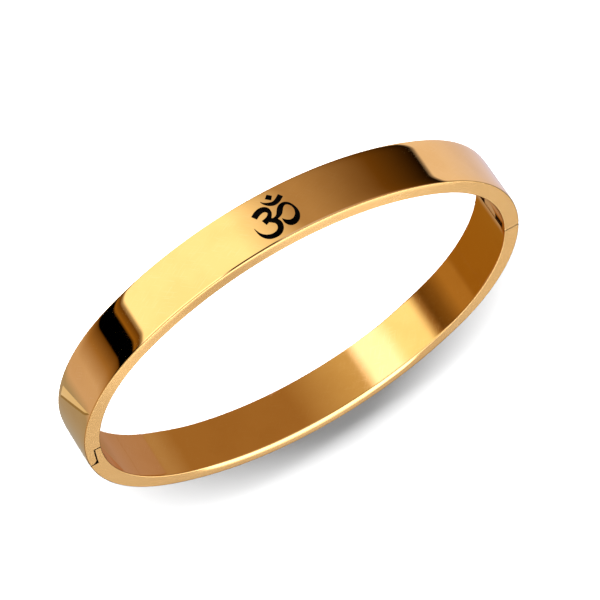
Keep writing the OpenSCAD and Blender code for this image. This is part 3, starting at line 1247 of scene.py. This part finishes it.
def shaded_cut_gold():
    """The cut faces at the seams and the hinge, with the marks of the saw, darkened as painted shade.
    """
    material, tree, shader = new_material("shaded_cut_gold", {"Metallic": 1.0})
    place = object_place(tree)
    smudge = use_effect(tree, "smudges", place, size_in_mm=1.2)
    lines = use_effect(tree, "brushed_lines", place, lines_per_mm=9.0, length_in_mm=1.5)
    # The darker gold is painted shade; the smudges vary it at random
    link(tree, (blend_colours(tree, smudge, GOLD_CUT_SHADED, GOLD_CUT_SHADED_SMUDGED), shader.inputs["Base Color"]))
    rough = maths(tree, "MULTIPLY_ADD", lines, CUT_ROUGH_SPREAD, CUT_ROUGH)
    link(tree, (rough, shader.inputs["Roughness"]))
    bump(tree, maths(tree, "MULTIPLY", lines, CUT_LINE_RELIEF), shader)
    return material


def black_enamel():
    """Deep black enamel, nearly matt, with a little dust."""
    material, tree, shader = new_material("black_enamel", {"Specular IOR Level": ENAMEL_GLOSS})
    place = object_place(tree)
    smudge = use_effect(tree, "smudges", place, size_in_mm=1.5)
    scratches = use_effect(tree, "fine_scratches", place, length_in_mm=0.8, share=0.5)
    dusty = maths(tree, "MAXIMUM", smudge, scratches)
    link(tree, (blend_colours(tree, dusty, ENAMEL, ENAMEL_DUSTY), shader.inputs["Base Color"]))
    rough = maths(tree, "MULTIPLY_ADD", smudge, ENAMEL_ROUGH_SPREAD, ENAMEL_ROUGH)
    link(tree, (rough, shader.inputs["Roughness"]))
    return material


def turned_steel():
    """Plain steel of the hinge pin and the clasp tongue, with fine turning lines."""
    material, tree, shader = new_material("turned_steel", {"Metallic": 1.0})
    place = object_place(tree)
    smudge = use_effect(tree, "smudges", place, size_in_mm=2.0)
    lines = use_effect(tree, "brushed_lines", place, lines_per_mm=12.0, length_in_mm=4.0)
    link(tree, (blend_colours(tree, smudge, STEEL, STEEL_DARK), shader.inputs["Base Color"]))
    rough = maths(tree, "MULTIPLY_ADD", lines, STEEL_ROUGH_SPREAD, STEEL_ROUGH)
    link(tree, (rough, shader.inputs["Roughness"]))
    bump(tree, maths(tree, "MULTIPLY", lines, STEEL_LINE_RELIEF), shader)
    return material


# Making the pieces

def make_half(name, side, past, cut_ends, node, body):
    """One half of the band with its cuts and finishes, in place of its CAD node."""
    half = spun_half(name, side, past)
    wear_rims(half, side)
    uncut = copy_of(half, name + "_uncut")
    cut_ends(half)
    if side == FRONT:
        for symbol in SYMBOL_NODES:
            cut(half, symbol_prism(symbol, INLAY_GAP))
    mark_band(half, uncut)
    on_skin = keep_skin_shading(half, uncut)
    bpy.data.objects.remove(uncut)
    half.data.materials.clear()
    half.data.materials.append(finishes["polished_gold"])
    # The cut faces take the darker finish, whose colour is painted shade
    half.data.materials.append(finishes["shaded_cut_gold"])
    for face in half.data.polygons:
        face.material_index = 0 if face.index in on_skin else 1
    to_metres(half)
    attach(half, body)
    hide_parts(node)
    return half


def make_inlay(node):
    """One enamel inlay of the symbol, in place of its CAD node."""
    inlay = enamel_sheet()
    uncut = copy_of(inlay, node + "_uncut")
    combine(inlay, symbol_prism(node, OVER), "INTERSECT")
    inlay.name = node + "_enamel"
    keep_skin_shading(inlay, uncut)
    bpy.data.objects.remove(uncut)
    inlay.data.materials.clear()
    inlay.data.materials.append(finishes["black_enamel"])
    to_metres(inlay)
    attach(inlay, "front")
    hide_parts(node)


set_camera()
effects = {
    "brushed_lines": make_brushed_lines(),
    "fine_scratches": make_fine_scratches(),
    "smudges": make_smudges()}
finishes = {
    "polished_gold": polished_gold(),
    "shaded_cut_gold": shaded_cut_gold(),
    "black_enamel": black_enamel(),
    "turned_steel": turned_steel()}
for node in STEEL_NODES:
    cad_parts[node].material_slots[0].material = finishes["turned_steel"]
make_half("band_front", FRONT, LIP_END + OVER, cut_front, "front_half", "front")
back = make_half("band_back", BACK, LIP_REACH + OVER, cut_back, "back_half", "back")
for symbol in SYMBOL_NODES:
    make_inlay(symbol)
set_room()
set_well()
set_strip()
set_key(set_floor(), back)
bpy.context.scene.view_settings.view_transform = "Standard"
